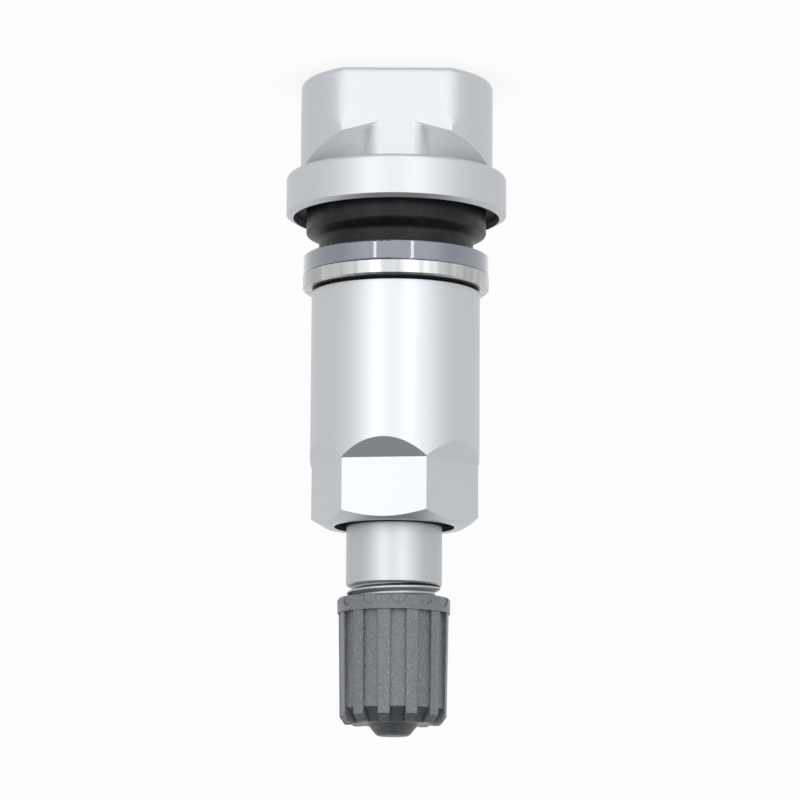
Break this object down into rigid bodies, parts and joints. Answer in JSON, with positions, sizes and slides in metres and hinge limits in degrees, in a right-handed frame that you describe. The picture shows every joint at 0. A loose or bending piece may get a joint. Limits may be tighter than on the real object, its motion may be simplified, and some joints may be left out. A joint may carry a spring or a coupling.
{
  "type": "tyre pressure sensor valve",
  "caption": "Clamp-in metal wheel valve with a notched round head, rubber grommet, washers, long clamp nut with a milled hexagon, spring valve core and ribbed screw cap.",
  "frame": {"origin": "centre of the flat end face of the head, which the sensor housing is screwed to", "axes": "+Z along the stem towards the cap, -Y out of the flat side of the head, between its pockets"},
  "size_m": [0.0183, 0.0182, 0.0544],
  "materials": {
    "anodised_stem": "satin, clear anodised",
    "anodised_nut": "satin, clear anodised",
    "turned_washer": "fine turned",
    "black_rubber": "matt moulded",
    "clear_plastic": "translucent",
    "cap_plastic": "fine grained",
    "plated_brass": "nickel plated",
    "white_gasket": "smooth",
    "spring_steel": "drawn wire"
  },
  "bodies": {
    "stem": {"valve_body": "anodised_stem", "rim_grommet": "black_rubber", "insulating_washer": "clear_plastic", "core_plug": "plated_brass", "core_gasket": "white_gasket", "core_barrel": "plated_brass", "core_spring": "spring_steel"},
    "washer": {"clamp_washer": "turned_washer"},
    "nut": {"clamp_nut": "anodised_nut"},
    "seal": {"cap_seal": "black_rubber"},
    "cap": {"cap_shell": "cap_plastic"},
    "plunger": {"core_pin": "plated_brass", "core_cup": "plated_brass", "core_cup_seal": "black_rubber"}
  },
  "joints": [
    {"name": "nut_lift", "type": "slide", "parent": "stem", "child": "washer", "axis": [0, 0, 1], "range_m": [0, 0.0055]},
    {"name": "nut_turn", "type": "hinge", "parent": "washer", "child": "nut", "pos_m": [0, 0, 0.02741], "axis": [0, 0, 1], "range_deg": [0, 2640]},
    {"name": "cap_lift", "type": "slide", "parent": "stem", "child": "seal", "axis": [0, 0, 1], "range_m": [0, 0.007]},
    {"name": "cap_turn", "type": "hinge", "parent": "seal", "child": "cap", "pos_m": [0, 0, 0.04828], "axis": [0, 0, 1], "range_deg": [0, 3174]},
    {"name": "pin_press", "type": "slide", "parent": "stem", "child": "plunger", "axis": [0, 0, -1], "range_m": [0, 0.0012], "stiffness_N_per_m": 1500, "springref_m": -0.002, "deforming": ["core_spring"]}
  ],
  "couplings": [
    {"joint": "nut_turn", "follows": "nut_lift", "rad_per_m": 8377.6},
    {"joint": "cap_turn", "follows": "cap_lift", "rad_per_m": 7913.3}
  ]
}
